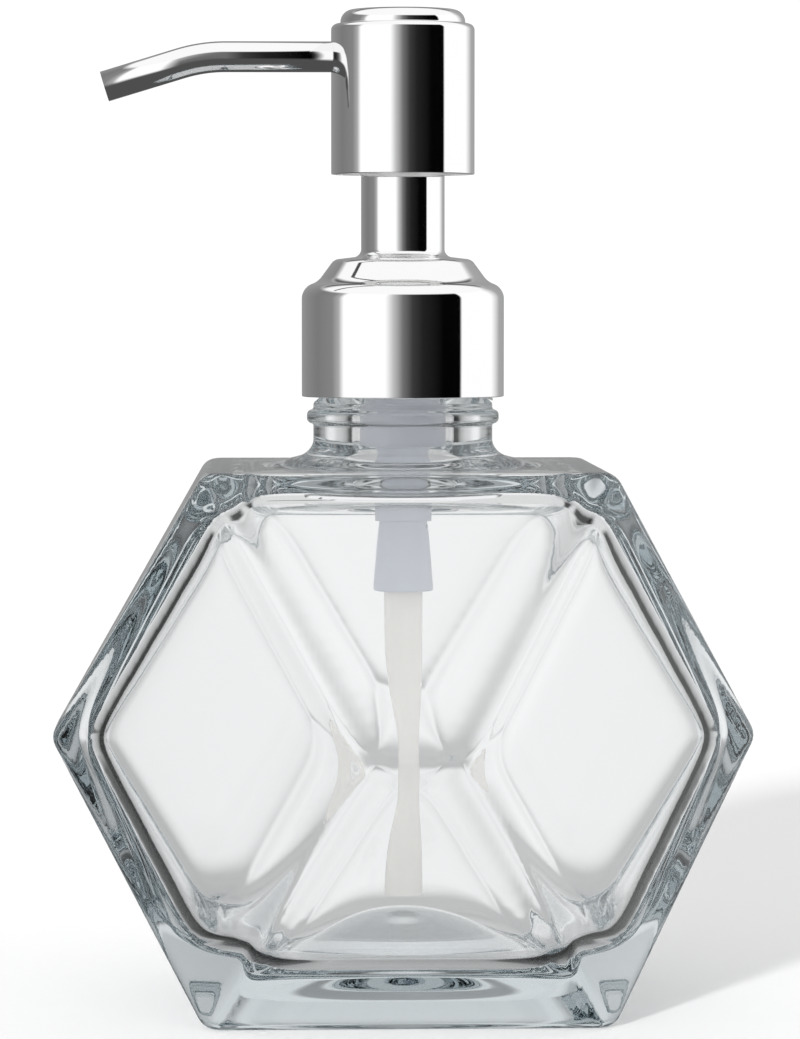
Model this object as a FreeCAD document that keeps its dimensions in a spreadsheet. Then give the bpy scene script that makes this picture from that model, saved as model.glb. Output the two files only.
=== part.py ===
import FreeCAD
import Part
import Sketcher
import math
import os
import re

# Soap pump dispenser: a faceted glass bottle with a screwed-on metal lotion pump.
# Frame: +Z up, origin at the middle of the bottle's base, millimetres. The spout points to -X
# at rest and one waist edge of the bottle faces -Y.
Vector = FreeCAD.Vector
Rotation = FreeCAD.Rotation
Placement = FreeCAD.Placement

UP = Vector(0, 0, 1)
ALONG_X = Vector(1, 0, 0)

# ---------------------------------------------------------------- driving dimensions
SIZES = {
    # glass block: square top and base, leaning side facets that meet at a waist, diamond corners
    "block_height": 83.7,
    "block_side": 61.6,
    "facet_tilt": 29.9,
    "block_round": 3.0,
    "glass_wall": 6.3,
    "glass_base": 10.0,
    "glass_roof": 4.0,
    "cavity_round": 7.0,
    # glass neck
    "shoulder_rise": 2.0,
    "neck_radius": 13.95,
    "neck_fillet": 1.6,
    "bead_radius": 14.95,
    "bead_height": 91.3,
    "bead_half": 0.9,
    "finish_base": 93.0,
    "finish_radius": 12.6,
    "lip_top": 103.5,
    "mouth_radius": 8.0,
    "mouth_flare": 4.0,
    "mouth_overlap": 2.0,
    # screw thread, glass outside and ring inside
    "thread_pitch": 4.2333,
    "thread_turns": 1.2,
    "thread_depth": 0.95,
    "thread_half": 0.8,
    "thread_start": 96.6,
    "thread_sink": 0.2,
    "thread_crest": 0.4,
    # metal collar with its chimney
    "metal_gauge": 0.45,
    "collar_radius": 15.75,
    "collar_foot": 94.4,
    "collar_wall_top": 111.3,
    "cone_foot_radius": 13.2,
    "cone_foot": 112.3,
    "cone_top_radius": 10.7,
    "cone_top": 115.7,
    "chimney_foot": 116.2,
    "shoulder_round": 2.2,
    "cone_foot_round": 2.4,
    "cone_top_round": 1.5,
    "chimney_round": 1.3,
    "chimney_radius": 6.5,
    "chimney_top": 132.0,
    # plastic ring in the collar
    "ring_root_radius": 13.85,
    "ring_foot": 94.9,
    "ring_top": 107.4,
    "ring_mouth_radius": 9.3,
    "ring_lip_gap": 0.1,
    # pump housing
    "gasket_thickness": 0.98,
    "gasket_gap": 0.02,
    "flange_radius": 12.3,
    "flange_thickness": 1.2,
    "barrel_radius": 6.7,
    "barrel_bore": 5.8,
    "barrel_foot": 85.3,
    "barrel_round": 0.5,
    "barrel_floor": 0.9,
    "barrel_clearance": 0.2,
    "tail_radius": 4.4,
    "tail_bore": 3.5,
    "tail_foot": 75.3,
    "socket_neck_radius": 3.7,
    "socket_radius": 4.65,
    "socket_foot": 63.0,
    "socket_band": 0.8,
    "socket_floor": 69.6,
    "valve_seat": 70.8,
    "valve_bore": 2.6,
    "valve_hole": 1.4,
    "snap_lip_radius": 1.85,
    "snap_lip_height": 0.5,
    "spring_ledge": 76.5,
    # tube, balls and spring
    "tube_radius": 3.0,
    "tube_bore": 2.1,
    "tube_foot": 18.0,
    "inlet_ball_radius": 2.0,
    "outlet_ball_radius": 1.9,
    "ball_gap": 0.02,
    "spring_radius": 2.9,
    "spring_wire": 0.6,
    "spring_turns": 9.0,
    "spring_gap": 0.02,
    # stem and what is on it
    "stem_radius": 3.25,
    "stem_bore": 1.7,
    "stem_foot": 98.5,
    "stem_top": 140.0,
    "stem_stop": 105.5,
    "stem_shoulder_radius": 4.2,
    "stem_shoulder": 102.55,
    "stem_shoulder_width": 0.65,
    "plug_bore": 1.2,
    "plug_fit_radius": 2.4,
    "plug_seat": 101.0,
    "plug_flange_foot": 97.6,
    "plug_spigot_radius": 2.2,
    "plug_spigot_foot": 95.5,
    "seal_foot": 98.6,
    "seal_top": 102.5,
    "seal_lip": 0.9,
    "seal_taper": 0.5,
    "seal_waist": 0.5,
    # retainer
    "retainer_foot": 103.4,
    "retainer_flange_radius": 8.8,
    "retainer_flange_top": 106.9,
    "guide_radius": 5.2,
    "guide_top": 112.0,
    "wiper_radius": 4.6,
    "wiper_foot": 110.4,
    # running fits
    "running_gap": 0.05,
    "seal_gap": 0.03,
    # head
    "head_radius": 11.15,
    "head_foot": 128.9,
    "head_shoulder": 152.2,
    "head_disc_radius": 9.7,
    "head_top": 154.4,
    "head_round": 0.9,
    "head_disc_round": 1.5,
    "core_radius": 10.7,
    "core_foot": 129.4,
    "core_top": 151.5,
    "boss_radius": 5.4,
    "slot_radius": 7.0,
    "slot_top": 143.6,
    # spout
    "spout_radius": 2.4,
    "spout_bore": 2.0,
    "spout_height": 147.1,
    "spout_root": 3.0,
    "spout_bend_start": 27.5,
    "spout_bend_radius": 24.0,
    "spout_bend_angle": 17.0,
    "spout_tip_length": 12.3,
}

doc = FreeCAD.newDocument("soap_pump_dispenser")
sizes = doc.addObject("Spreadsheet::Sheet", "sizes")
for row, (alias, number) in enumerate(SIZES.items(), start=1):
    sizes.set(f"A{row}", alias)
    sizes.set(f"B{row}", str(number))
    sizes.setAlias(f"B{row}", alias)
doc.recompute()


def bound(text):
    """Turn a sum of size names into an expression that reads the sheet."""
    def prefix(match):
        word = match.group(0)
        return f"sizes.{word}" if word in SIZES else word
    return re.sub(r"[a-z_]+", prefix, text)


def value(text):
    """The number that a sum of size names comes to."""
    number = sizes.evalExpression(bound(text).replace("sizes.", ""))
    return float(getattr(number, "Value", number))


# ---------------------------------------------------------------- ways of making a piece
def closed_outline(sketch, corners):
    """Draw a closed polygon whose every corner is tied to the sheet."""
    points = []
    for across, up in corners:
        points.append(Vector(value(across), value(up), 0))
    count = len(points)
    for number in range(count):
        sketch.addGeometry(Part.LineSegment(points[number], points[(number + 1) % count]), False)
    for number in range(count):
        joint = Sketcher.Constraint("Coincident", number, 2, (number + 1) % count, 1)
        sketch.addConstraint(joint)
    for number, (across, up) in enumerate(corners):
        tie(sketch, "DistanceX", number, across)
        tie(sketch, "DistanceY", number, up)


def tie(sketch, kind, line, text):
    """Hold the start of a line at a distance from the sketch's origin."""
    distance = value(text)
    if abs(distance) < 1e-9:
        axis = -2 if kind == "DistanceX" else -1
        sketch.addConstraint(Sketcher.Constraint("PointOnObject", line, 1, axis))
        return
    index = sketch.addConstraint(Sketcher.Constraint(kind, -1, 1, line, 1, distance))
    sketch.setExpression(f"Constraints[{index}]", bound(text))


def origin_plane(body, role):
    return next(item for item in body.Origin.OriginFeatures if item.Role == role)


def body_sketch(body, name, role):
    sketch = body.newObject("Sketcher::SketchObject", name)
    sketch.AttachmentSupport = [(origin_plane(body, role), "")]
    sketch.MapMode = "FlatFace"
    return sketch


def turned(label, corners):
    """A piece turned about Z from a half outline of (radius, height) corners."""
    body = doc.addObject("PartDesign::Body", label)
    body.Label = label
    sketch = body_sketch(body, f"{label}_outline", "XZ_Plane")
    closed_outline(sketch, corners)
    turn = body.newObject("PartDesign::Revolution", f"{label}_turn")
    turn.Profile = sketch
    turn.ReferenceAxis = (sketch, ["V_Axis"])
    turn.Angle = 360.0
    sketch.Visibility = False
    doc.recompute()
    return body


def rounded(body, rings, radius):
    """Round the circular edges at the given (radius, height) places."""
    base = body.Tip
    names = []
    for across, up in rings:
        for number, edge in enumerate(base.Shape.Edges, start=1):
            curve = edge.Curve
            if not isinstance(curve, Part.Circle):
                continue
            same_radius = abs(curve.Radius - value(across)) < 1e-4
            same_height = abs(curve.Center.z - value(up)) < 1e-4
            if same_radius and same_height:
                names.append(f"Edge{number}")
                break
        else:
            raise RuntimeError(f"{body.Label}: no edge at {across}, {up}")
    fillet = body.newObject("PartDesign::Fillet", f"{body.Label}_round")
    fillet.Base = (base, names)
    fillet.setExpression("Radius", bound(radius))
    doc.recompute()
    return fillet


def screw(body, name, corners):
    """Wind an outline of (radius, height) corners round Z as a screw thread."""
    sketch = body_sketch(body, f"{name}_profile", "XZ_Plane")
    closed_outline(sketch, corners)
    helix = body.newObject("PartDesign::AdditiveHelix", name)
    helix.Profile = sketch
    helix.ReferenceAxis = (sketch, ["V_Axis"])
    helix.Mode = "pitch-turns-angle"
    helix.setExpression("Pitch", bound("thread_pitch"))
    helix.setExpression("Turns", bound("thread_turns"))
    sketch.Visibility = False
    doc.recompute()
    return helix


# ---------------------------------------------------------------- glass bottle
def prism(name, corners, turn_about_z, length):
    """A prism through the block: an outline of (across, up) corners, centred on the axis."""
    sketch = doc.addObject("Sketcher::SketchObject", f"{name}_outline")
    upright = Rotation(ALONG_X, 90)
    sketch.Placement = Placement(Vector(0, 0, 0), Rotation(UP, turn_about_z).multiply(upright))
    closed_outline(sketch, corners)
    body = doc.addObject("Part::Extrusion", name)
    body.Base = sketch
    body.DirMode = "Normal"
    body.Solid = True
    body.Symmetric = True
    body.setExpression("LengthFwd", bound(length))
    return body


def faceted_block(name, inset, low, high, rounding):
    """The block's form moved in by a wall, with every edge and corner rounded.

    Two crossed hexagon prisms make the leaning facets and a square prism on its corner cuts
    the four diamonds. The sharp core is smaller by the rounding, and is then grown by it.
    """
    middle = "block_height / 2"
    lean = "tan(facet_tilt * 1deg)"
    moved_in = f"({inset} + {rounding}) / cos(facet_tilt * 1deg)"
    waist = f"(block_side / 2 + {lean} * block_height / 2 - {moved_in})"
    core_low = f"({low} + {rounding})"
    core_high = f"({high} - {rounding})"
    low_reach = f"({waist} - {lean} * ({middle} - {core_low}))"
    high_reach = f"({waist} - {lean} * ({core_high} - {middle}))"
    hexagon = [
        (f"-{low_reach}", core_low), (low_reach, core_low), (waist, middle),
        (high_reach, core_high), (f"-{high_reach}", core_high), (f"-{waist}", middle),
    ]
    front = prism(f"{name}_front", hexagon, 0, "block_side * 4")
    side = prism(f"{name}_side", hexagon, 90, "block_side * 4")
    corner = doc.addObject("Part::Box", f"{name}_corners")
    reach = f"(block_side - ({inset} + {rounding}) * sqrt(2))"
    corner.setExpression("Length", bound(f"{reach} * sqrt(2)"))
    corner.setExpression("Width", bound(f"{reach} * sqrt(2)"))
    corner.setExpression("Height", bound("block_height"))
    corner.Placement = Placement(Vector(0, 0, 0), Rotation(UP, 45))
    corner.setExpression("Placement.Base.y", bound(f"-{reach}"))
    sharp = doc.addObject("Part::MultiCommon", f"{name}_sharp")
    sharp.Shapes = [front, side, corner]
    sharp.Refine = True
    doc.recompute()
    grown = doc.addObject("Part::Offset", name)
    grown.Source = sharp
    grown.Mode = "Skin"
    grown.Join = "Arc"
    grown.setExpression("Value", bound(rounding))
    doc.recompute()
    return grown


def glass_bottle():
    """Pressed glass: the block with its cavity, and a blown neck with bead and thread."""
    block = faceted_block("block", "0", "0", "block_height", "block_round")
    cavity_top = "block_height - glass_roof"
    cavity = faceted_block("cavity", "glass_wall", "glass_base", cavity_top, "cavity_round")
    buried = "block_height - glass_roof / 2"
    shoulder = "block_height + shoulder_rise"
    neck = turned("neck", [
        ("0", buried), ("block_side * 0.45", buried), ("block_side * 0.45", "block_height - 0.02"),
        ("neck_radius + neck_fillet", shoulder), ("neck_radius", f"{shoulder} + neck_fillet"),
        ("neck_radius", "bead_height - bead_half * 1.6"), ("bead_radius", "bead_height - bead_half"),
        ("bead_radius", "bead_height + bead_half"), ("neck_radius", "bead_height + bead_half * 1.6"),
        ("neck_radius", "finish_base"), ("finish_radius", "finish_base + neck_radius - finish_radius"),
        ("finish_radius", "lip_top"), ("0", "lip_top"),
    ])
    rounded(neck, [("bead_radius", "bead_height - bead_half"), ("bead_radius", "bead_height + bead_half")],
            "bead_half * 0.6")
    crest = "finish_radius + thread_depth"
    screw(neck, "glass_thread", [
        ("finish_radius - thread_sink", "thread_start - thread_half"),
        (crest, "thread_start - thread_half * thread_crest"),
        (crest, "thread_start + thread_half * thread_crest"),
        ("finish_radius - thread_sink", "thread_start + thread_half"),
    ])
    mouth = turned("mouth", [
        ("0", "block_height - glass_roof - mouth_overlap"),
        ("mouth_radius + mouth_flare", "block_height - glass_roof - mouth_overlap"),
        ("mouth_radius + mouth_flare", "block_height - glass_roof"), ("mouth_radius", "block_height"),
        ("mouth_radius", "lip_top + mouth_overlap"), ("0", "lip_top + mouth_overlap"),
    ])
    solid = doc.addObject("Part::Fuse", "bottle_solid")
    solid.Base = block
    solid.Tool = neck
    hollow = doc.addObject("Part::Fuse", "bottle_hollow")
    hollow.Base = cavity
    hollow.Tool = mouth
    bottle = doc.addObject("Part::Cut", "glass_bottle")
    bottle.Base = solid
    bottle.Tool = hollow
    bottle.Label = "glass_bottle"
    return bottle


# ---------------------------------------------------------------- pump, fixed pieces
def neck_gasket():
    """Soft washer that lies on the glass lip, round the barrel."""
    foot = "lip_top + gasket_gap"
    top = "lip_top + gasket_gap + gasket_thickness"
    return turned("neck_gasket", [
        ("barrel_radius + barrel_clearance", foot), ("flange_radius", foot),
        ("flange_radius", top), ("barrel_radius + barrel_clearance", top),
    ])


def pump_housing():
    """Moulded barrel with a flange, a narrow tail, the inlet seat and the tube's socket."""
    flange_foot = "lip_top + gasket_gap + gasket_thickness"
    flange_top = f"{flange_foot} + flange_thickness"
    body = turned("pump_housing", [
        ("barrel_bore", flange_top), ("flange_radius", flange_top), ("flange_radius", flange_foot),
        ("barrel_radius", flange_foot), ("barrel_radius", "barrel_foot"), ("tail_radius", "barrel_foot"),
        ("tail_radius", "tail_foot"), ("socket_neck_radius", "tail_foot"),
        ("socket_radius", "socket_foot + socket_band"), ("socket_radius", "socket_foot"),
        ("tube_radius", "socket_foot"), ("tube_radius", "socket_floor"),
        ("valve_hole", "socket_floor"), ("valve_hole", "valve_seat"),
        ("valve_bore", "valve_seat"), ("valve_bore", "tail_foot"),
        ("snap_lip_radius", "tail_foot"), ("snap_lip_radius", "tail_foot + snap_lip_height"),
        ("valve_bore", "tail_foot + snap_lip_height"), ("valve_bore", "spring_ledge"),
        ("tail_bore", "spring_ledge"), ("tail_bore", "barrel_foot + barrel_floor"),
        ("barrel_bore", "barrel_foot + barrel_floor"),
    ])
    rounded(body, [("barrel_radius", "barrel_foot")], "barrel_round")
    return body


def dip_tube():
    """Straight milky tube pressed into the housing's socket."""
    return turned("dip_tube", [
        ("tube_bore", "tube_foot"), ("tube_radius", "tube_foot"),
        ("tube_radius", "socket_floor"), ("tube_bore", "socket_floor"),
    ])


def retainer():
    """Bushing snapped into the barrel's mouth: flange, sleeve and the stem's guide."""
    flange_foot = "lip_top + gasket_gap + gasket_thickness + flange_thickness"
    return turned("retainer", [
        ("stem_radius + running_gap", "retainer_foot"), ("barrel_bore", "retainer_foot"),
        ("barrel_bore", flange_foot), ("retainer_flange_radius", flange_foot),
        ("retainer_flange_radius", "retainer_flange_top"), ("guide_radius", "retainer_flange_top"),
        ("guide_radius", "guide_top"), ("wiper_radius", "guide_top"),
        ("wiper_radius", "wiper_foot"), ("stem_radius + running_gap", "wiper_foot"),
    ])


def stem_wiper():
    """Rubber ring in the guide's top pocket."""
    return turned("stem_wiper", [
        ("stem_radius + seal_gap", "wiper_foot"), ("wiper_radius", "wiper_foot"),
        ("wiper_radius", "guide_top"), ("stem_radius + seal_gap", "guide_top"),
    ])


def ball(label, radius, seat, hole):
    """A ball that rests on the edge of a round hole."""
    sphere = doc.addObject("Part::Sphere", label)
    sphere.Label = label
    sphere.setExpression("Radius", bound(radius))
    rest = f"{seat} + sqrt({radius} * {radius} - {hole} * {hole}) + ball_gap"
    sphere.setExpression("Placement.Base.z", bound(rest))
    return sphere


WIRE_SIDES = 8


def return_spring():
    """Compression spring between the tail's ledge and the stem plug; the wire is eight-sided."""
    wire_radius = value("spring_wire") / 2
    radius = value("spring_radius")
    foot = value("spring_ledge + spring_wire / 2 + spring_gap")
    height = value("plug_flange_foot - spring_wire / 2 - spring_gap") - foot
    pitch = height / value("spring_turns")
    rise = Vector(0, 2 * math.pi * radius, pitch).normalize()
    corners = []
    for side in range(WIRE_SIDES + 1):
        turn = Rotation(rise, 360 / WIRE_SIDES * side)
        corners.append(Vector(radius, 0, 0) + turn.multVec(ALONG_X) * wire_radius)
    path = Part.makeHelix(pitch, height, radius)
    spring = doc.addObject("Part::Feature", "return_spring")
    spring.Label = "return_spring"
    spring.Shape = Part.Wire(path.Edges).makePipeShell([Part.makePolygon(corners)], True, True)
    spring.Placement = Placement(Vector(0, 0, foot), Rotation())
    return spring


# ---------------------------------------------------------------- collar
def threaded_ring():
    """Plastic screw insert: its mouth lip holds the housing down, its thread grips the glass."""
    lip_foot = "lip_top + gasket_gap + gasket_thickness + flange_thickness + ring_lip_gap"
    body = turned("threaded_ring", [
        ("ring_root_radius", "ring_foot"), ("collar_radius - metal_gauge", "ring_foot"),
        ("collar_radius - metal_gauge", "ring_top"), ("ring_mouth_radius", "ring_top"),
        ("ring_mouth_radius", lip_foot), ("ring_root_radius", lip_foot),
    ])
    below = "thread_start - thread_pitch / 2"
    crest = "ring_root_radius - thread_depth"
    screw(body, "ring_thread", [
        ("ring_root_radius + thread_sink", f"{below} - thread_half"),
        (crest, f"{below} - thread_half * thread_crest"),
        (crest, f"{below} + thread_half * thread_crest"),
        ("ring_root_radius + thread_sink", f"{below} + thread_half"),
    ])
    return body


def collar_shell():
    """Polished collar drawn in one piece: skirt, rounded shoulder, cone and chimney tube."""
    gauge = "metal_gauge"
    bore = f"chimney_radius - {gauge}"
    inner_wall = (f"collar_radius - {gauge}", f"collar_wall_top - {gauge} * 0.7")
    inner_cone_foot = (f"cone_foot_radius - {gauge} * 0.6", f"cone_foot - {gauge} * 0.9")
    inner_cone_top = (f"cone_top_radius - {gauge} * 0.5", f"cone_top - {gauge} * 0.9")
    body = turned("collar_shell", [
        (f"collar_radius - {gauge}", "collar_foot"), ("collar_radius", "collar_foot"),
        ("collar_radius", "collar_wall_top"), ("cone_foot_radius", "cone_foot"),
        ("cone_top_radius", "cone_top"), ("chimney_radius", "chimney_foot"),
        ("chimney_radius", "chimney_top"), (bore, "chimney_top"),
        (bore, f"chimney_foot - {gauge}"), inner_cone_top, inner_cone_foot, inner_wall,
    ])
    rounded(body, [("collar_radius", "collar_wall_top")], "shoulder_round")
    rounded(body, [inner_wall], f"shoulder_round - {gauge}")
    rounded(body, [("cone_foot_radius", "cone_foot")], "cone_foot_round")
    rounded(body, [inner_cone_foot], f"cone_foot_round + {gauge}")
    rounded(body, [("cone_top_radius", "cone_top")], "cone_top_round")
    rounded(body, [inner_cone_top], f"cone_top_round - {gauge}")
    rounded(body, [("chimney_radius", "chimney_foot")], "chimney_round")
    return body


# ---------------------------------------------------------------- piston and stem
def piston_seal():
    """Cup seal between the stem's shoulder and the plug's flange."""
    return turned("piston_seal", [
        ("stem_radius + seal_gap", "seal_foot"), ("barrel_bore - seal_gap", "seal_foot"),
        ("barrel_bore - seal_gap", "seal_foot + seal_lip"),
        ("barrel_bore - seal_waist", "seal_foot + seal_lip + seal_taper"),
        ("barrel_bore - seal_waist", "seal_top - seal_lip - seal_taper"),
        ("barrel_bore - seal_gap", "seal_top - seal_lip"),
        ("barrel_bore - seal_gap", "seal_top"), ("stem_radius + seal_gap", "seal_top"),
    ])


def stem():
    """Hollow stem with the seal's shoulder and the outlet ball's chamber in its foot."""
    return turned("stem", [
        ("plug_fit_radius", "stem_foot"), ("stem_radius", "stem_foot"), ("stem_radius", "stem_shoulder"),
        ("stem_shoulder_radius", "stem_shoulder"),
        ("stem_shoulder_radius", "stem_shoulder + stem_shoulder_width"),
        ("stem_radius", "stem_shoulder + stem_shoulder_width"), ("stem_radius", "stem_top"),
        ("stem_bore", "stem_top"), ("stem_bore", "stem_stop"), ("plug_fit_radius", "stem_stop"),
    ])


def stem_plug():
    """Seat pressed into the stem's foot; its flange carries the seal and the spring."""
    return turned("stem_plug", [
        ("plug_bore", "plug_spigot_foot"), ("plug_spigot_radius", "plug_spigot_foot"),
        ("plug_spigot_radius", "plug_flange_foot"), ("stem_shoulder_radius", "plug_flange_foot"),
        ("stem_shoulder_radius", "stem_foot"), ("plug_fit_radius", "stem_foot"),
        ("plug_fit_radius", "plug_seat"), ("plug_bore", "plug_seat"),
    ])


# ---------------------------------------------------------------- head
def head_core():
    """Moulded filling of the head: skirt, slot for the chimney, boss on the stem, spout seat."""
    body = turned("head_core", [
        ("stem_radius", "core_foot"), ("boss_radius", "core_foot"), ("boss_radius", "slot_top"),
        ("slot_radius", "slot_top"), ("slot_radius", "core_foot"), ("core_radius", "core_foot"),
        ("core_radius", "core_top"), ("0", "core_top"), ("0", "spout_height"),
        ("stem_bore", "spout_height"), ("stem_bore", "stem_top"), ("stem_radius", "stem_top"),
    ])
    cross_hole(body, "spout_seat", "spout_radius", "spout_root")
    cross_hole(body, "outlet_way", "stem_bore", "0")
    return body


def cross_hole(body, name, radius, inner_end):
    """Bore a round hole at the spout's height, out to -X from inner_end."""
    sketch = body_sketch(body, f"{name}_circle", "YZ_Plane")
    sketch.addGeometry(Part.Circle(Vector(0, value("spout_height"), 0), UP, value(radius)), False)
    sketch.addConstraint(Sketcher.Constraint("PointOnObject", 0, 3, -2))
    height = sketch.addConstraint(Sketcher.Constraint("DistanceY", -1, 1, 0, 3, value("spout_height")))
    sketch.setExpression(f"Constraints[{height}]", bound("spout_height"))
    size = sketch.addConstraint(Sketcher.Constraint("Radius", 0, value(radius)))
    sketch.setExpression(f"Constraints[{size}]", bound(radius))
    sketch.setExpression("AttachmentOffset.Base.z", bound(f"-{inner_end}"))
    before = body.Shape.Volume
    hole = body.newObject("PartDesign::Pocket", name)
    hole.Profile = sketch
    hole.setExpression("Length", bound("head_radius * 2"))
    hole.Reversed = False
    sketch.Visibility = False
    doc.recompute()
    if body.Shape.Volume > before - 1:
        raise RuntimeError(f"{name} cut nothing")


def head_shell():
    """Polished cap: skirt, rounded shoulder and a raised disc on top."""
    gauge = "metal_gauge"
    body = turned("head_shell", [
        (f"head_radius - {gauge}", "head_foot"), ("head_radius", "head_foot"),
        ("head_radius", "head_shoulder"), ("head_disc_radius", "head_shoulder"),
        ("head_disc_radius", "head_top"), ("0", "head_top"), ("0", f"head_top - {gauge}"),
        (f"head_disc_radius - {gauge}", f"head_top - {gauge}"),
        (f"head_disc_radius - {gauge}", f"head_shoulder - {gauge}"),
        (f"head_radius - {gauge}", f"head_shoulder - {gauge}"),
    ])
    rounded(body, [("head_radius", "head_shoulder")], "head_round")
    rounded(body, [("head_disc_radius", "head_top")], "head_disc_round")
    cross_hole(body, "spout_hole", "spout_radius", "boss_radius")
    return body


def spout_tube():
    """Thin tube: level out of the head, one gentle bend down, square-cut end."""
    height = value("spout_height")
    bend_start = value("spout_bend_start")
    bend_radius = value("spout_bend_radius")
    bend = value("spout_bend_angle")
    tip_length = value("spout_tip_length")

    def on_bend(degrees):
        swing = Rotation(Vector(0, 1, 0), -degrees).multVec(Vector(0, 0, bend_radius))
        return Vector(-bend_start, 0, height - bend_radius) + swing

    root = Vector(-value("spout_root"), 0, height)
    bend_end = on_bend(bend)
    tip_way = Rotation(Vector(0, 1, 0), -bend).multVec(Vector(-1, 0, 0))
    path = Part.Wire([
        Part.LineSegment(root, on_bend(0)).toShape(),
        Part.Arc(on_bend(0), on_bend(bend / 2), bend_end).toShape(),
        Part.LineSegment(bend_end, bend_end + tip_way * tip_length).toShape(),
    ])

    def swept(radius):
        ring = Part.Wire([Part.Edge(Part.Circle(root, ALONG_X, radius))])
        return path.makePipeShell([ring], True, True)

    tube = doc.addObject("Part::Feature", "spout_tube")
    tube.Label = "spout_tube"
    tube.Shape = swept(value("spout_radius")).cut(swept(value("spout_bore")))
    return tube


pieces = [
    glass_bottle(),
    neck_gasket(),
    pump_housing(),
    dip_tube(),
    retainer(),
    stem_wiper(),
    ball("inlet_ball", "inlet_ball_radius", "valve_seat", "valve_hole"),
    return_spring(),
    threaded_ring(),
    collar_shell(),
    piston_seal(),
    stem(),
    stem_plug(),
    ball("outlet_ball", "outlet_ball_radius", "plug_seat", "plug_bore"),
    head_core(),
    head_shell(),
    spout_tube(),
]
doc.recompute()

for item in doc.Objects:
    if "Invalid" in item.State or "Error" in item.State:
        raise RuntimeError(f"{item.Label} failed: {item.State}")

os.makedirs("parts", exist_ok=True)
for piece in pieces:
    shape = piece.Shape
    if shape.isNull() or not shape.isValid():
        raise RuntimeError(f"{piece.Label} has no valid shape")
    shape.exportStep(f"parts/{piece.Label}.step")
    print(piece.Label, shape.ShapeType, len(shape.Solids), round(shape.Volume, 1))
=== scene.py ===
import math
import bmesh
import bpy
import numpy as np
from itertools import combinations
from mathutils import Matrix, Vector


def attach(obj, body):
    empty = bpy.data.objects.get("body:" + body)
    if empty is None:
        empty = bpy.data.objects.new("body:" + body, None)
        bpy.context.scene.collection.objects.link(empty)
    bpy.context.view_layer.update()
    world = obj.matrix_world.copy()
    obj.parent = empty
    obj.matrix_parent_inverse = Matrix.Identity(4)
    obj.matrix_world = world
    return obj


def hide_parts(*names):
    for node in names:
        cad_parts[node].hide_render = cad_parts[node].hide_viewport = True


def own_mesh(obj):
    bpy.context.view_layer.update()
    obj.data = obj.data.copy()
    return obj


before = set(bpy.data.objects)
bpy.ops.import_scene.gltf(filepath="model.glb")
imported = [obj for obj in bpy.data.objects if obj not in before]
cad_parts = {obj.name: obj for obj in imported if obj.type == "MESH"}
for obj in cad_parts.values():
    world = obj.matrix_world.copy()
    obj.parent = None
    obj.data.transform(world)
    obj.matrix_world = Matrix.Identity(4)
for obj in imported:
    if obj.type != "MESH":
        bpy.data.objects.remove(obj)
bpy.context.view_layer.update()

# The bottle's block is pressed clear soda-lime glass: a square top and base, eight leaning facets
# that meet at a waist and four diamond corners. Fire polishing has rounded every edge, more so in
# the hollow, whose floor is pushed up into a low dome.
MM = 0.001
BLANK = 200.0 * MM
scene = bpy.context.scene
BLOCK_TOP = 83.7 * MM
WAIST_HEIGHT = BLOCK_TOP / 2
FACET_LEAN = math.radians(29.9)
TOP_HALF = 30.8 * MM
WAIST_REACH = TOP_HALF + math.tan(FACET_LEAN) * WAIST_HEIGHT
WALL = 6.3 * MM
BASE_THICK = 10.0 * MM
ROOF_THICK = 4.0 * MM
SHOULDER_RADIUS = 22.0
FLARE_RADIUS = 13.5
OUTER_GRAIN = 0.9 * MM
OUTER_ROUND = 3.0 * MM
OUTER_GAP = 0.8 * MM
HOLLOW_GRAIN = 1.1 * MM
HOLLOW_ROUND = 7.0 * MM
HOLLOW_GAP = 1.2 * MM
HOLLOW_POLISH = 36
EVEN_OUT = 8
SKIM = 3.0 * MM
PUSH_UP = 6.0 * MM
PUSH_UP_REACH = 24.0 * MM


def rolled_over(bm, planes, rounding):
    """Move every vertex onto the form that the planes bound, its edges rounded by a radius.

    The form's core is smaller by the radius. Each vertex is put at that distance from the
    nearest point of the core, which lies on one of its faces, edges or corners.
    """
    ways = np.array([way for _, way in planes])
    reach = np.array([point.dot(way) for point, way in planes]) - rounding
    numbers = range(len(planes))
    tiny = 1e-9
    touching = 1e-7
    apart = 1e-6
    corners = []
    for trio in combinations(numbers, 3):
        picked = list(trio)
        if abs(np.linalg.det(ways[picked])) > apart:
            corner = np.linalg.solve(ways[picked], reach[picked])
            if (ways @ corner <= reach + tiny).all():
                corners.append(corner)
    corners = np.array(corners)
    on_plane = np.abs(corners @ ways.T - reach) < touching
    parts = [[number] for number in numbers]
    for first, second in combinations(numbers, 2):
        shared = corners[on_plane[:, first] & on_plane[:, second]]
        if len(shared) > 1 and np.ptp(shared, axis=0).max() > apart:
            parts.append([first, second])
    spots = np.array([vert.co for vert in bm.verts])
    nearest = np.zeros_like(spots)
    least = np.full(len(spots), np.inf)
    choices = []
    for part in parts:
        away = spots @ ways[part].T - reach[part]
        choices.append(spots - away @ np.linalg.pinv(ways[part]).T)
    for corner in corners:
        choices.append(np.broadcast_to(corner, spots.shape))
    for choice in choices:
        gap = np.linalg.norm(spots - choice, axis=1)
        better = (choice @ ways.T <= reach + tiny).all(axis=1) & (gap < least)
        nearest[better] = choice[better]
        least[better] = gap[better]
    moved = nearest + (spots - nearest) / least[:, None] * rounding
    for vert, spot in zip(bm.verts, moved):
        vert.co = spot


def polished(bm, passes):
    """Soften a form's edges by passes of smoothing."""
    for _ in range(passes):
        bmesh.ops.smooth_vert(bm, verts=bm.verts, factor=0.5,
                              use_axis_x=True, use_axis_y=True, use_axis_z=True)


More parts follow.
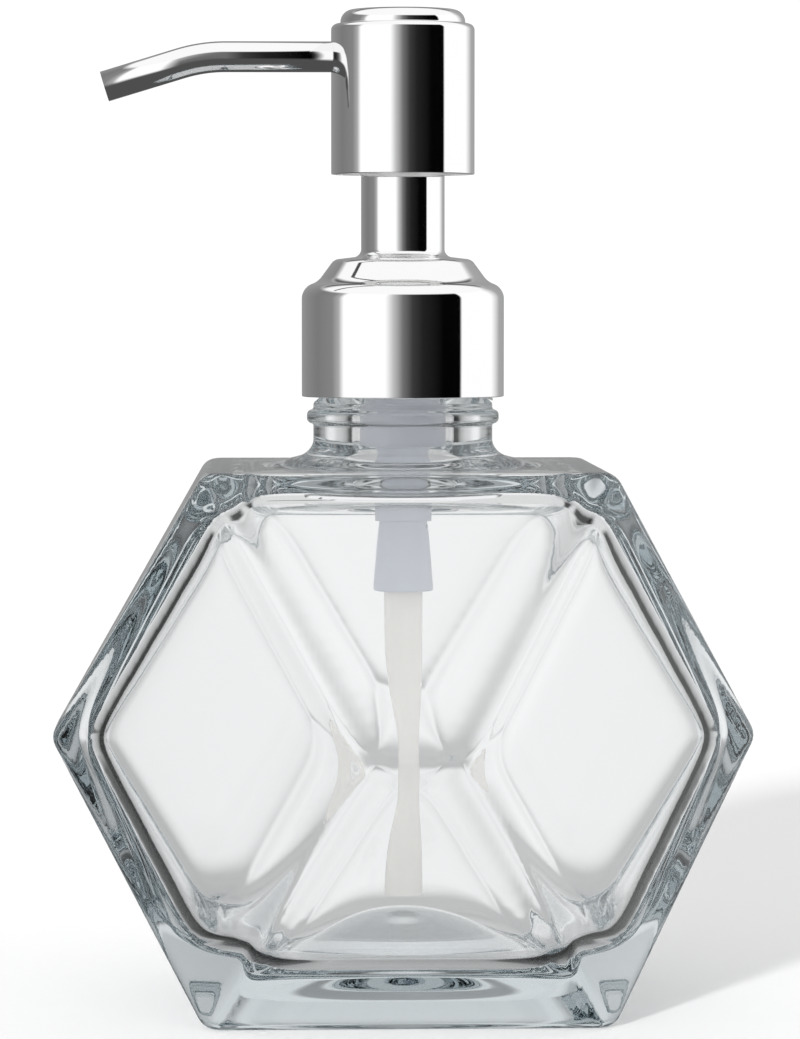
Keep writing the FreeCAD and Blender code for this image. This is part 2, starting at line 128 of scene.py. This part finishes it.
def faceted_form(inset, low, high, rounding, grain):
    """The block's form moved in by inset: cut from a blank, remeshed evenly, edges rounded."""
    bm = bmesh.new()
    bmesh.ops.create_cube(bm, size=1.0)
    bmesh.ops.scale(bm, vec=(BLANK, BLANK, high - low), verts=bm.verts)
    bmesh.ops.translate(bm, vec=(0.0, 0.0, (high + low) / 2), verts=bm.verts)
    planes = []
    for quarter in range(4):
        side = Matrix.Rotation(quarter * math.pi / 2, 3, "Z") @ Vector((1.0, 0.0, 0.0))
        corner = Matrix.Rotation((quarter + 0.5) * math.pi / 2, 3, "Z") @ Vector((1.0, 0.0, 0.0))
        waist = side * (WAIST_REACH - inset / math.cos(FACET_LEAN))
        waist.z = WAIST_HEIGHT
        for lean in (FACET_LEAN, -FACET_LEAN):
            planes.append((waist, side * math.cos(lean) + Vector((0.0, 0.0, math.sin(lean)))))
        planes.append((corner * (TOP_HALF * math.sqrt(2.0) - inset), corner))
    top = (Vector((0.0, 0.0, high)), Vector((0.0, 0.0, 1.0)))
    bottom = (Vector((0.0, 0.0, low)), Vector((0.0, 0.0, -1.0)))
    for point, outwards in planes:
        everything = bm.verts[:] + bm.edges[:] + bm.faces[:]
        bmesh.ops.bisect_plane(bm, geom=everything, plane_co=point, plane_no=outwards, clear_outer=True)
        rim = [edge for edge in bm.edges if edge.is_boundary]
        if rim:
            bmesh.ops.contextual_create(bm, geom=rim)
    bmesh.ops.recalc_face_normals(bm, faces=bm.faces)
    mesh = bpy.data.meshes.new("form")
    bm.to_mesh(mesh)
    bm.free()
    form = bpy.data.objects.new("form", mesh)
    scene.collection.objects.link(form)
    remesh = form.modifiers.new("remesh", "REMESH")
    remesh.mode = "VOXEL"
    remesh.voxel_size = grain
    bpy.context.view_layer.update()
    made = bpy.data.meshes.new_from_object(form.evaluated_get(bpy.context.evaluated_depsgraph_get()))
    bpy.data.objects.remove(form)
    bm = bmesh.new()
    bm.from_mesh(made)
    polished(bm, EVEN_OUT)
    rolled_over(bm, planes + [top, bottom], rounding)
    return bm


def open_top(bm, radius, height):
    """Cut a round hole about the axis in the top of a form and level its rim."""
    near = [vert for vert in bm.verts if vert.co.z > height - SKIM and vert.co.xy.length < radius]
    bmesh.ops.delete(bm, geom=near, context="VERTS")
    for edge in bm.edges:
        if edge.is_boundary:
            for vert in edge.verts:
                vert.co.z = height


def joined(bm, other):
    """Add another bmesh's faces to the first and let the other go."""
    mesh = bpy.data.meshes.new("part")
    other.to_mesh(mesh)
    other.free()
    bm.from_mesh(mesh)
    bpy.data.meshes.remove(mesh)


glass = faceted_form(0.0, 0.0, BLOCK_TOP, OUTER_ROUND, OUTER_GRAIN)
open_top(glass, SHOULDER_RADIUS * MM + OUTER_GAP, BLOCK_TOP)
hollow = faceted_form(WALL, BASE_THICK, BLOCK_TOP - ROOF_THICK, HOLLOW_ROUND, HOLLOW_GRAIN)
polished(hollow, HOLLOW_POLISH)
for vert in hollow.verts:
    share = max(0.0, 1.0 - (vert.co.xy.length / PUSH_UP_REACH) ** 2)
    low_down = max(0.0, 1.0 - (vert.co.z - BASE_THICK) / (WAIST_HEIGHT - BASE_THICK))
    vert.co.z += PUSH_UP * share * share * low_down
open_top(hollow, FLARE_RADIUS * MM + HOLLOW_GAP, BLOCK_TOP - ROOF_THICK)
bmesh.ops.reverse_faces(hollow, faces=hollow.faces)
joined(glass, hollow)

# The neck is formed in one piece with the block: a domed shoulder, a bead for the capping machine
# and a smooth finish that ends in a rounded lip. Outlines that are turned about the axis are rows
# of (radius, height, rounding) in millimetres.
TURNS = 128
ROUND_STEPS = 8
WELD = 1e-7
LEVEL = 0.02 * MM
NECK_OUTLINE = [
    (SHOULDER_RADIUS, 83.7, 0), (18.5, 84.55, 2.0), (15.2, 85.4, 0.9), (13.95, 87.0, 0.7),
    (13.95, 90.1, 0.25), (14.95, 90.5, 0.5), (14.95, 92.1, 0.5), (13.95, 92.5, 0.25),
    (13.95, 93.4, 0.2), (12.6, 94.6, 0.3), (12.6, 103.5, 0.6), (8.0, 103.5, 0.8),
    (8.0, 81.6, 2.0), (11.0, 79.7, 1.6), (FLARE_RADIUS, 79.7, 0),
]


def profile_ring(bm, corners):
    """A chain of (radius, height, rounding) corners in millimetres, each rounded as asked."""
    verts = [bm.verts.new((radius * MM, 0.0, height * MM)) for radius, height, _ in corners]
    for pair in zip(verts, verts[1:]):
        bm.edges.new(pair)
    for vert, (_, _, rounding) in zip(verts, corners):
        if rounding:
            bmesh.ops.bevel(bm, geom=[vert], offset=rounding * MM, segments=ROUND_STEPS,
                            profile=0.5, affect="VERTICES", material=-1)


def spun(bm):
    """Turn every wire edge of a bmesh once about Z."""
    wire = [edge for edge in bm.edges if edge.is_wire]
    verts = list({vert for edge in wire for vert in edge.verts})
    bmesh.ops.spin(bm, geom=verts + wire, cent=(0, 0, 0), axis=(0, 0, 1), angle=2 * math.pi,
                   steps=TURNS, use_merge=True, use_duplicate=False)
    bmesh.ops.remove_doubles(bm, verts=bm.verts, dist=WELD)


def rim_at(bm, height, nearest, furthest):
    """The open edges of a bmesh at a height, between two distances from the axis."""
    found = []
    for edge in bm.edges:
        middle = (edge.verts[0].co + edge.verts[1].co) / 2
        level = abs(middle.z - height) < LEVEL
        if edge.is_boundary and level and nearest < middle.xy.length < furthest:
            found.append(edge)
    return found


neck = bmesh.new()
profile_ring(neck, NECK_OUTLINE)
spun(neck)
bmesh.ops.recalc_face_normals(neck, faces=neck.faces)
joined(glass, neck)
for height, reach in ((BLOCK_TOP, SHOULDER_RADIUS * MM), (BLOCK_TOP - ROOF_THICK, FLARE_RADIUS * MM)):
    inner = rim_at(glass, height, 0.0, reach + LEVEL)
    outer = rim_at(glass, height, reach + LEVEL, BLANK)
    bmesh.ops.bridge_loops(glass, edges=inner + outer)
bmesh.ops.recalc_face_normals(glass, faces=glass.faces)

# The screw thread is a blunt ridge of the same glass, one and a fifth turns, moulded on the
# smooth finish. The collar's threaded insert screws onto it.
THREAD_SECTION = [(12.4, 95.8), (13.55, 96.3), (13.55, 96.9), (12.4, 97.4)]
THREAD_PITCH = 4.2333 * MM
THREAD_TURNS = 1.2
THREAD_STEPS = 120


def coiled(corners, pitch, turns, steps):
    """A closed section of (radius, height) corners swept up a screw line, ends capped."""
    bm = bmesh.new()
    verts = [bm.verts.new((radius * MM, 0.0, height * MM)) for radius, height in corners]
    start = bm.faces.new(verts)
    bmesh.ops.spin(bm, geom=[start] + verts + start.edges[:], cent=(0, 0, 0), axis=(0, 0, 1),
                   angle=turns * 2 * math.pi, dvec=(0, 0, pitch * turns / steps), steps=steps,
                   use_duplicate=False)
    bmesh.ops.recalc_face_normals(bm, faces=bm.faces)
    return bm


joined(glass, coiled(THREAD_SECTION, THREAD_PITCH, THREAD_TURNS, THREAD_STEPS))

# The whole bottle is one piece of soda-lime glass: clear, with a faint grey-green where the light
# passes a long way through it.
GLASS_IOR = 1.52
GLASS_TINT = (0.62, 0.685, 0.71, 1.0)
GLASS_DENSITY = 16.0
GLASS_CREASE = 40.0


def new_material(name):
    """A node material with a Principled shader: the material, its links and its shader."""
    material = bpy.data.materials.new(name)
    material.use_nodes = True
    tree = material.node_tree
    return material, tree, tree.nodes["Principled BSDF"]


def put_in_scene(name, bm, material, crease=35.0):
    """Make an object of a bmesh: smooth faces, and edges sharper than crease kept sharp."""
    mesh = bpy.data.meshes.new(name)
    for face in bm.faces:
        face.smooth = True
    for edge in bm.edges:
        if len(edge.link_faces) == 2 and edge.calc_face_angle(0.0) > math.radians(crease):
            edge.smooth = False
    bm.to_mesh(mesh)
    bm.free()
    mesh.materials.append(material)
    piece = bpy.data.objects.new(name, mesh)
    scene.collection.objects.link(piece)
    return piece


def belongs(piece, body, slot, *nodes):
    """The piece moves with a body and stands for the named nodes; the slot is not used."""
    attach(piece, body)
    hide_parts(*nodes)


clear_glass, tree, shader = new_material("clear_glass")
shader.inputs["Base Color"].default_value = (1.0, 1.0, 1.0, 1.0)
shader.inputs["Roughness"].default_value = 0.0
shader.inputs["IOR"].default_value = GLASS_IOR
shader.inputs["Transmission Weight"].default_value = 1.0
absorb = tree.nodes.new("ShaderNodeVolumeAbsorption")
absorb.inputs["Color"].default_value = GLASS_TINT
absorb.inputs["Density"].default_value = GLASS_DENSITY
tree.links.new(absorb.outputs[0], tree.nodes["Material Output"].inputs["Volume"])
bottle = put_in_scene("bottle_glass", glass, clear_glass, GLASS_CREASE)
belongs(bottle, "bottle", "clear_glass", "glass_bottle")

# The pump housing is injection moulded in grey-blue polypropylene: a flange that hangs on the
# bottle's lip, the barrel, a narrow tail with the inlet seat, and the socket for the dip tube.
HOUSING_OUTLINE = [
    (5.8, 105.7, 0.1), (12.3, 105.7, 0.2), (12.3, 104.5, 0.2), (6.7, 104.5, 0), (6.7, 85.3, 0.8),
    (4.4, 85.3, 0.3), (4.4, 75.3, 0.3), (3.7, 75.3, 0.2), (4.65, 63.8, 0.2), (4.65, 63.0, 0.3),
    (3.02, 63.0, 0.1), (3.02, 69.62, 0), (1.4, 69.62, 0), (1.4, 70.8, 0), (2.6, 70.8, 0),
    (2.6, 75.3, 0), (1.85, 75.3, 0), (1.85, 75.8, 0), (2.6, 75.8, 0), (2.6, 76.5, 0),
    (3.5, 76.5, 0), (3.5, 86.2, 0), (5.8, 86.2, 0),
]
PLASTIC_IOR = 1.49
SCATTER_DEPTH = 3.0 * MM
DRIFT_SCALE = 180.0
DRIFT_DETAIL = 4.0
DRIFT_SHADE = 0.93
PEEL_STRENGTH = 0.15
PEEL_DEPTH = 0.2 * MM


def turned(name, corners, material):
    """A closed outline of (radius, height, rounding) corners turned once about the axis."""
    bm = bmesh.new()
    profile_ring(bm, corners + [corners[0][:2] + (0,)])
    bmesh.ops.remove_doubles(bm, verts=bm.verts, dist=WELD)
    spun(bm)
    bmesh.ops.recalc_face_normals(bm, faces=bm.faces)
    return put_in_scene(name, bm, material)


def moulded(name, color, roughness, clear, scatter=0.0):
    """Moulded plastic: a little colour drift and a fine orange-peel bump on Object coordinates."""
    material, tree, shader = new_material(name)
    shader.inputs["Transmission Weight"].default_value = clear
    shader.inputs["IOR"].default_value = PLASTIC_IOR
    shader.inputs["Subsurface Weight"].default_value = scatter
    shader.inputs["Subsurface Scale"].default_value = SCATTER_DEPTH
    place = tree.nodes.new("ShaderNodeTexCoord")
    cloud = tree.nodes.new("ShaderNodeTexNoise")
    cloud.inputs["Scale"].default_value = DRIFT_SCALE
    cloud.inputs["Detail"].default_value = DRIFT_DETAIL
    tree.links.new(place.outputs["Object"], cloud.inputs["Vector"])
    tint = tree.nodes.new("ShaderNodeMix")
    tint.data_type = "RGBA"
    tint.inputs["A"].default_value = (*[part * DRIFT_SHADE for part in color], 1.0)
    tint.inputs["B"].default_value = (*color, 1.0)
    tree.links.new(cloud.outputs["Fac"], tint.inputs["Factor"])
    tree.links.new(tint.outputs["Result"], shader.inputs["Base Color"])
    gloss = tree.nodes.new("ShaderNodeMapRange")
    gloss.inputs["To Min"].default_value = roughness * 0.8
    gloss.inputs["To Max"].default_value = roughness * 1.2
    tree.links.new(cloud.outputs["Fac"], gloss.inputs["Value"])
    tree.links.new(gloss.outputs["Result"], shader.inputs["Roughness"])
    peel = tree.nodes.new("ShaderNodeBump")
    peel.inputs["Strength"].default_value = PEEL_STRENGTH
    peel.inputs["Distance"].default_value = PEEL_DEPTH
    tree.links.new(cloud.outputs["Fac"], peel.inputs["Height"])
    tree.links.new(peel.outputs["Normal"], shader.inputs["Normal"])
    return material


blue_plastic = moulded("blue_plastic", (0.66, 0.68, 0.74), 0.3, 0.15)
belongs(turned("housing", HOUSING_OUTLINE, blue_plastic), "pump", "blue_plastic", "pump_housing")

# The dip tube is extruded milky polyethylene, cut square at both ends and pressed into the
# housing's socket. It hangs straight down and stops short of the bottle's floor.
TUBE_BORE = 2.1
TUBE_RADIUS = 3.0
TUBE_FOOT = 18.0
TUBE_TOP = 69.6
TUBE_ROUND = 0.1
TUBE_OUTLINE = [
    (TUBE_BORE, TUBE_FOOT, TUBE_ROUND), (TUBE_RADIUS, TUBE_FOOT, TUBE_ROUND),
    (TUBE_RADIUS, TUBE_TOP, TUBE_ROUND), (TUBE_BORE, TUBE_TOP, TUBE_ROUND),
]
milky_plastic = moulded("milky_plastic", (0.93, 0.91, 0.88), 0.25, 0.2)
belongs(turned("suction_tube", TUBE_OUTLINE, milky_plastic), "pump", "milky_plastic", "dip_tube")

# The gasket is a die-cut washer of white foamed polyethylene: matt, with small closed cells. The
# collar squeezes it between the housing's flange and the bottle's lip.
CELL_SCALE = 2500.0
CELL_LIGHT = (0.90, 0.90, 0.88, 1.0)
CELL_DARK = (0.74, 0.74, 0.72, 1.0)
CELL_STRENGTH = 0.3
CELL_DEPTH = 0.1 * MM
white_foam, tree, shader = new_material("white_foam")
shader.inputs["Roughness"].default_value = 0.85
place = tree.nodes.new("ShaderNodeTexCoord")
cells = tree.nodes.new("ShaderNodeTexVoronoi")
cells.inputs["Scale"].default_value = CELL_SCALE
tree.links.new(place.outputs["Object"], cells.inputs["Vector"])
shade = tree.nodes.new("ShaderNodeMix")
shade.data_type = "RGBA"
shade.inputs["A"].default_value = CELL_LIGHT
shade.inputs["B"].default_value = CELL_DARK
tree.links.new(cells.outputs["Distance"], shade.inputs["Factor"])
tree.links.new(shade.outputs["Result"], shader.inputs["Base Color"])
dimple = tree.nodes.new("ShaderNodeBump")
dimple.inputs["Strength"].default_value = CELL_STRENGTH
dimple.inputs["Distance"].default_value = CELL_DEPTH
tree.links.new(cells.outputs["Distance"], dimple.inputs["Height"])
tree.links.new(dimple.outputs["Normal"], shader.inputs["Normal"])


def repaint(node, material):
    """Give a design node's own mesh a finished material."""
    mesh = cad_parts[node].data
    mesh.materials.clear()
    mesh.materials.append(material)


repaint("neck_gasket", white_foam)

# The small moulded parts inside the pump and head are white polypropylene and keep their design
# shapes: the retainer, the collar's threaded insert, the stem with its plug, the head's core.
white_plastic = moulded("white_plastic", (0.85, 0.85, 0.83), 0.4, 0.0)
for node in ("retainer", "threaded_ring", "stem", "stem_plug", "head_core"):
    repaint(node, white_plastic)

# The piston seal is a cup of softer, waxy polyethylene that slides in the barrel. The stem wiper
# is a black rubber ring, pushed into a pocket at the top of the retainer.
seal_plastic = moulded("seal_plastic", (0.80, 0.82, 0.84), 0.5, 0.1)
repaint("piston_seal", seal_plastic)
black_rubber = moulded("black_rubber", (0.03, 0.03, 0.03), 0.6, 0.0)
repaint("stem_wiper", black_rubber)

# Both valve balls are stainless bearing balls, lapped smooth. One rests on the inlet seat in the
# housing's tail, the other on the plug in the stem's foot.
GRAIN_SCALE = 300.0
GRAIN_DETAIL = 6.0


def metal(name, color, roughness):
    """Polished or drawn metal with a faint grain in its roughness."""
    material, tree, shader = new_material(name)
    shader.inputs["Metallic"].default_value = 1.0
    shader.inputs["Base Color"].default_value = (*color, 1.0)
    place = tree.nodes.new("ShaderNodeTexCoord")
    grain = tree.nodes.new("ShaderNodeTexNoise")
    grain.inputs["Scale"].default_value = GRAIN_SCALE
    grain.inputs["Detail"].default_value = GRAIN_DETAIL
    tree.links.new(place.outputs["Object"], grain.inputs["Vector"])
    gloss = tree.nodes.new("ShaderNodeMapRange")
    gloss.inputs["To Min"].default_value = roughness * 0.6
    gloss.inputs["To Max"].default_value = roughness * 1.4
    tree.links.new(grain.outputs["Fac"], gloss.inputs["Value"])
    tree.links.new(gloss.outputs["Result"], shader.inputs["Roughness"])
    return material


ball_steel = metal("ball_steel", (0.75, 0.75, 0.76), 0.1)
repaint("inlet_ball", ball_steel)
repaint("outlet_ball", ball_steel)

# The return spring is nine turns of round stainless wire, wound cold, ends cut square. It stands
# in the tail on its ledge.
SPRING_RADIUS = 2.9
WIRE_RADIUS = 0.29
WIRE_SIDES = 16
SPRING_FOOT = 76.82
SPRING_PITCH = 2.2733 * MM
SPRING_TURNS = 9
SPRING_STEPS = 360
wire = []
for side in range(WIRE_SIDES):
    turn = 2 * math.pi * side / WIRE_SIDES
    out = SPRING_RADIUS + WIRE_RADIUS * math.cos(turn)
    up = SPRING_FOOT + WIRE_RADIUS * math.sin(turn)
    wire.append((out, up))
spring_steel = metal("spring_steel", (0.6, 0.6, 0.6), 0.2)
coils = coiled(wire, SPRING_PITCH, SPRING_TURNS, SPRING_STEPS)
spring = put_in_scene("coil_spring", coils, spring_steel)
belongs(spring, "pump", "spring_steel", "return_spring")
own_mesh(spring)

# The collar is one deep-drawn shell of stainless steel, polished to a mirror: a straight wall, a
# cone and a chimney round the stem, every bend rounded by the drawing tool. The threaded insert
# is pressed into it.
COLLAR_OUTLINE = [
    (15.3, 94.4, 0.1), (15.75, 94.4, 0.18), (15.75, 111.3, 1.6), (13.2, 112.3, 0.8),
    (10.7, 115.7, 0.65), (6.5, 116.2, 1.1), (6.5, 132.0, 0.15), (6.05, 132.0, 0.1),
    (6.05, 115.75, 0), (10.475, 115.3, 0.5), (12.93, 111.9, 0.7), (15.3, 110.98, 1.2),
]
mirror_steel = metal("polished_metal", (0.95, 0.95, 0.955), 0.04)
collar = turned("collar_and_chimney", COLLAR_OUTLINE, mirror_steel)
belongs(collar, "collar", "polished_metal", "collar_shell")

# The head is a drawn cup of the same polished steel, closed by a low disc with a soft edge for
# the thumb. It is pressed over the white plastic core.
HEAD_OUTLINE = [
    (10.7, 128.9, 0.1), (11.15, 128.9, 0.15), (11.15, 152.2, 0.95), (9.7, 152.2, 0.12),
    (9.7, 154.4, 1.9), (0.0, 154.4, 0), (0.0, 153.95, 0), (9.25, 153.95, 0.8),
    (9.25, 151.75, 0), (10.7, 151.75, 0.4),
]
head = turned("head_cap", HEAD_OUTLINE, mirror_steel)
belongs(head, "head", "polished_metal", "head_shell")

# The spout is a thin seamless tube of the same steel, bent once round a former and cut square. Its
# root passes through the head's side into the plastic core.
SPOUT_RADIUS = 2.4 * MM
SPOUT_GAUGE = 0.4 * MM
SPOUT_HEIGHT = 147.1 * MM
SPOUT_ROOT = 3.0 * MM
BEND_START = 27.5 * MM
BEND_RADIUS = 24.0 * MM
BEND = math.radians(17.0)
BEND_STEPS = 14
TIP_LENGTH = 12.3 * MM
SPOUT_SIDES = 64


def drawn_on(bm, rim, way):
    """Extrude an open rim along a vector and give back the new rim."""
    made = bmesh.ops.extrude_edge_only(bm, edges=rim)["geom"]
    verts = {item for item in made if isinstance(item, bmesh.types.BMVert)}
    bmesh.ops.translate(bm, verts=list(verts), vec=way)
    edges = [item for item in made if isinstance(item, bmesh.types.BMEdge)]
    return [edge for edge in edges if edge.verts[0] in verts and edge.verts[1] in verts]


tube = bmesh.new()
bmesh.ops.create_circle(tube, segments=SPOUT_SIDES, radius=SPOUT_RADIUS, cap_ends=False)
bmesh.ops.rotate(tube, verts=tube.verts, cent=(0, 0, 0), matrix=Matrix.Rotation(math.pi / 2, 3, "Y"))
bmesh.ops.translate(tube, verts=tube.verts, vec=(-SPOUT_ROOT, 0.0, SPOUT_HEIGHT))
rim = drawn_on(tube, tube.edges[:], Vector((SPOUT_ROOT - BEND_START, 0.0, 0.0)))
rim_verts = list({vert for edge in rim for vert in edge.verts})
bend = bmesh.ops.spin(tube, geom=rim + rim_verts, cent=(-BEND_START, 0.0, SPOUT_HEIGHT - BEND_RADIUS),
                      axis=(0, 1, 0), angle=-BEND, steps=BEND_STEPS, use_duplicate=False)
rim = [item for item in bend["geom_last"] if isinstance(item, bmesh.types.BMEdge)]
drawn_on(tube, rim, Vector((-math.cos(BEND), 0.0, -math.sin(BEND))) * TIP_LENGTH)
bmesh.ops.recalc_face_normals(tube, faces=tube.faces)
spout = put_in_scene("spout", tube, mirror_steel)
gauge = spout.modifiers.new("gauge", "SOLIDIFY")
gauge.thickness = SPOUT_GAUGE
gauge.offset = -1.0
belongs(spout, "head", "polished_metal", "spout_tube")

# The table under the bottle is a wide sheet of matt white board. It takes the shadow, and the
# steel and the glass don't show it.
TABLE_HALF = 3.0
table_paint, tree, shader = new_material("table_paint")
shader.inputs["Base Color"].default_value = (0.93, 0.93, 0.93, 1.0)
shader.inputs["Roughness"].default_value = 0.9
board = bmesh.new()
bmesh.ops.create_grid(board, x_segments=1, y_segments=1, size=TABLE_HALF)
table = put_in_scene("table", board, table_paint)
table.visible_glossy = False
table.visible_transmission = False

# Pale and dark panels stand all round the table. Each ring is a row of (azimuth from the front
# towards +X in degrees, brightness): one for what the metal mirrors, and two for the glass edges,
# level and looking down. What shows straight through the bottle repeats every quarter turn.
MIRROR_RING = [
    (-180.0, 0.33), (-116.0, 0.20), (-90.0, 0.24), (-80.0, 0.42), (-73.0, 1.06), (-22.0, 1.06),
    (-13.0, 0.55), (-2.0, 0.17), (9.0, 0.045), (21.0, 0.016), (45.0, 0.001), (66.5, 0.001),
    (69.0, 1.05), (119.0, 1.05), (129.0, 0.75), (141.0, 0.40), (180.0, 0.33),
]
GLASS_RING = [
    (-180.0, 1.0), (-168.0, 0.94), (-152.0, 0.70), (-138.0, 0.60), (-124.0, 0.40), (-114.0, 0.03),
    (-94.0, 0.03), (-84.0, 0.75), (-60.0, 0.75), (60.0, 0.75), (84.0, 0.75), (94.0, 0.03),
    (114.0, 0.03), (124.0, 0.40), (138.0, 0.60), (152.0, 0.70), (168.0, 0.94), (180.0, 1.0),
]
LOW_RING = [
    (-180.0, 0.50), (-155.0, 0.35), (-142.0, 0.12), (-92.0, 0.02), (-86.0, 0.45), (-60.0, 0.95),
    (60.0, 0.95), (86.0, 0.45), (92.0, 0.02), (142.0, 0.12), (155.0, 0.35), (180.0, 0.50),
]
QUARTER_RING = [(-180.0, 1.0), (0.0, 1.0), (12.0, 0.94), (28.0, 0.70), (36.0, 0.68), (45.0, 0.90)]
LOW_QUARTER = 0.55
CEILING = 1.0
CEILING_FROM = (0.50, 0.62)
HIGH_BACK = 0.12
HIGH_BACK_FROM = (0.50, 0.70)
UNDERNEATH = 0.08
UNDERNEATH_FROM = (0.15, 0.40)
LOW_FROM = (0.14, 0.30)
GLASS_CEILING = 0.75
GLASS_CEILING_FROM = (0.45, 0.65)
THROUGH_TWO_WALLS = 3.5
ONCE_SCATTERED = 0.5
BACKDROP = 1.06
ROOM_LIGHT = 0.84
BOTTLE_LIGHT = 1.5
world = bpy.data.worlds.new("studio")
world.use_nodes = True
scene.world = world
tree = world.node_tree
tree.nodes.clear()


def math_node(tree, operation, first, second=None):
    """A Math node fed by sockets or numbers; gives back its output."""
    node = tree.nodes.new("ShaderNodeMath")
    node.operation = operation
    for socket, source in zip(node.inputs, (first, second)):
        if isinstance(source, (int, float)):
            socket.default_value = source
        elif source is not None:
            tree.links.new(source, socket)
    return node.outputs[0]


def ring_of(tree, stops, position):
    """A grey ramp over -180 to 180 degrees."""
    node = tree.nodes.new("ShaderNodeValToRGB")
    elements = node.color_ramp.elements
    elements.remove(elements[1])
    for degrees, grey in stops[1:]:
        elements.new((degrees + 180.0) / 360.0).color = (grey, grey, grey, 1.0)
    elements[0].position = 0.0
    elements[0].color = (*[stops[0][1]] * 3, 1.0)
    tree.links.new(position, node.inputs["Fac"])
    return node.outputs["Color"]


def mixed(tree, factor, first, second):
    """A colour mix of two sockets or greys."""
    node = tree.nodes.new("ShaderNodeMix")
    node.data_type = "RGBA"
    tree.links.new(factor, node.inputs["Factor"])
    for name, source in (("A", first), ("B", second)):
        if isinstance(source, float):
            node.inputs[name].default_value = (source, source, source, 1.0)
        else:
            tree.links.new(source, node.inputs[name])
    return node.outputs["Result"]


def step_up(tree, source, between):
    """0 below the first of two values, 1 above the second, smooth in between."""
    node = tree.nodes.new("ShaderNodeMapRange")
    node.interpolation_type = "SMOOTHSTEP"
    node.inputs["From Min"].default_value = between[0]
    node.inputs["From Max"].default_value = between[1]
    tree.links.new(source, node.inputs["Value"])
    return node.outputs["Result"]


place = tree.nodes.new("ShaderNodeTexCoord")
split = tree.nodes.new("ShaderNodeSeparateXYZ")
tree.links.new(place.outputs["Generated"], split.inputs[0])
across, depth, height = split.outputs
front = math_node(tree, "MULTIPLY", depth, -1.0)
azimuth = math_node(tree, "ARCTAN2", across, front)
turn = math_node(tree, "ADD", math_node(tree, "DIVIDE", azimuth, 2 * math.pi), 0.5)
mirror_sky = ring_of(tree, MIRROR_RING, turn)
overhead = step_up(tree, height, CEILING_FROM)
mirror_sky = mixed(tree, overhead, mirror_sky, CEILING)
high_back = math_node(tree, "MULTIPLY", step_up(tree, depth, HIGH_BACK_FROM), overhead)
mirror_sky = mixed(tree, high_back, mirror_sky, HIGH_BACK)
below = math_node(tree, "MULTIPLY", height, -1.0)
mirror_sky = mixed(tree, step_up(tree, below, UNDERNEATH_FROM), mirror_sky, UNDERNEATH)

looking_down = step_up(tree, below, LOW_FROM)
glass_sky = mixed(tree, looking_down, ring_of(tree, GLASS_RING, turn), ring_of(tree, LOW_RING, turn))
folded = math_node(tree, "PINGPONG", azimuth, math.pi / 4)
quarter = math_node(tree, "ADD", math_node(tree, "DIVIDE", folded, 2 * math.pi), 0.5)
straight_sky = mixed(tree, looking_down, ring_of(tree, QUARTER_RING, quarter), LOW_QUARTER)

paths = tree.nodes.new("ShaderNodeLightPath")
walls_passed = paths.outputs["Transmission Depth"]
straight = math_node(tree, "GREATER_THAN", walls_passed, THROUGH_TWO_WALLS)
glass_sky = mixed(tree, straight, glass_sky, straight_sky)
glass_sky = mixed(tree, step_up(tree, height, GLASS_CEILING_FROM), glass_sky, GLASS_CEILING)
scattered = math_node(tree, "GREATER_THAN", paths.outputs["Diffuse Depth"], ONCE_SCATTERED)
sky = mixed(tree, paths.outputs["Is Glossy Ray"], BACKDROP, mirror_sky)
sky = mixed(tree, paths.outputs["Is Transmission Ray"], sky, glass_sky)
inside = mixed(tree, paths.outputs["Is Transmission Ray"], ROOM_LIGHT, BOTTLE_LIGHT)
sky = mixed(tree, scattered, sky, inside)
shine = tree.nodes.new("ShaderNodeBackground")
tree.links.new(sky, shine.inputs["Color"])
ending = tree.nodes.new("ShaderNodeOutputWorld")
tree.links.new(shine.outputs[0], ending.inputs["Surface"])

# The key lamp is large, low and far off to the front left. It throws one long soft shadow to the
# back right, and neither the steel nor the glass mirrors it.
KEY_TURN = math.radians(26.0)
KEY_HEIGHT = math.radians(15.0)
KEY_SPREAD = math.radians(6.0)
KEY_POWER = 3.4
key_data = bpy.data.lights.new("key_lamp", "SUN")
key_data.energy = KEY_POWER
key_data.angle = KEY_SPREAD
key = bpy.data.objects.new("key_lamp", key_data)
towards = Vector((-math.sin(KEY_TURN), -math.cos(KEY_TURN), math.tan(KEY_HEIGHT)))
key.rotation_euler = towards.to_track_quat("Z", "Y").to_euler()
key.visible_glossy = False
key.visible_transmission = False
scene.collection.objects.link(key)

# The camera stands low in front, a little to the left, with a long portrait lens on a full-frame
# back. The light is followed through every wall of the bottle.
EYE = Vector((-23.8, -674.9, 112.0)) * MM
EYE_PAN = 0.0346
EYE_TILT = -0.0545
LENS = 150.0
FILM_WIDTH = 36.0
NEAREST = 10.0 * MM
BOUNCES = 24
MIRROR_BOUNCES = 16
BRIGHTEST = 6.0
SOFTENED = 0.4
scene.view_settings.view_transform = "Standard"
scene.cycles.max_bounces = BOUNCES
scene.cycles.transmission_bounces = BOUNCES
scene.cycles.transparent_max_bounces = BOUNCES
scene.cycles.glossy_bounces = MIRROR_BOUNCES
scene.cycles.sample_clamp_indirect = BRIGHTEST
scene.cycles.caustics_refractive = True
scene.cycles.blur_glossy = SOFTENED
camera_data = bpy.data.cameras.new("studio_camera")
camera_data.lens = LENS
camera_data.sensor_width = FILM_WIDTH
camera_data.clip_start = NEAREST
camera = bpy.data.objects.new("studio_camera", camera_data)
camera.location = EYE
camera.rotation_euler = (math.pi / 2 + EYE_TILT, 0.0, -EYE_PAN)
scene.collection.objects.link(camera)
scene.camera = camera
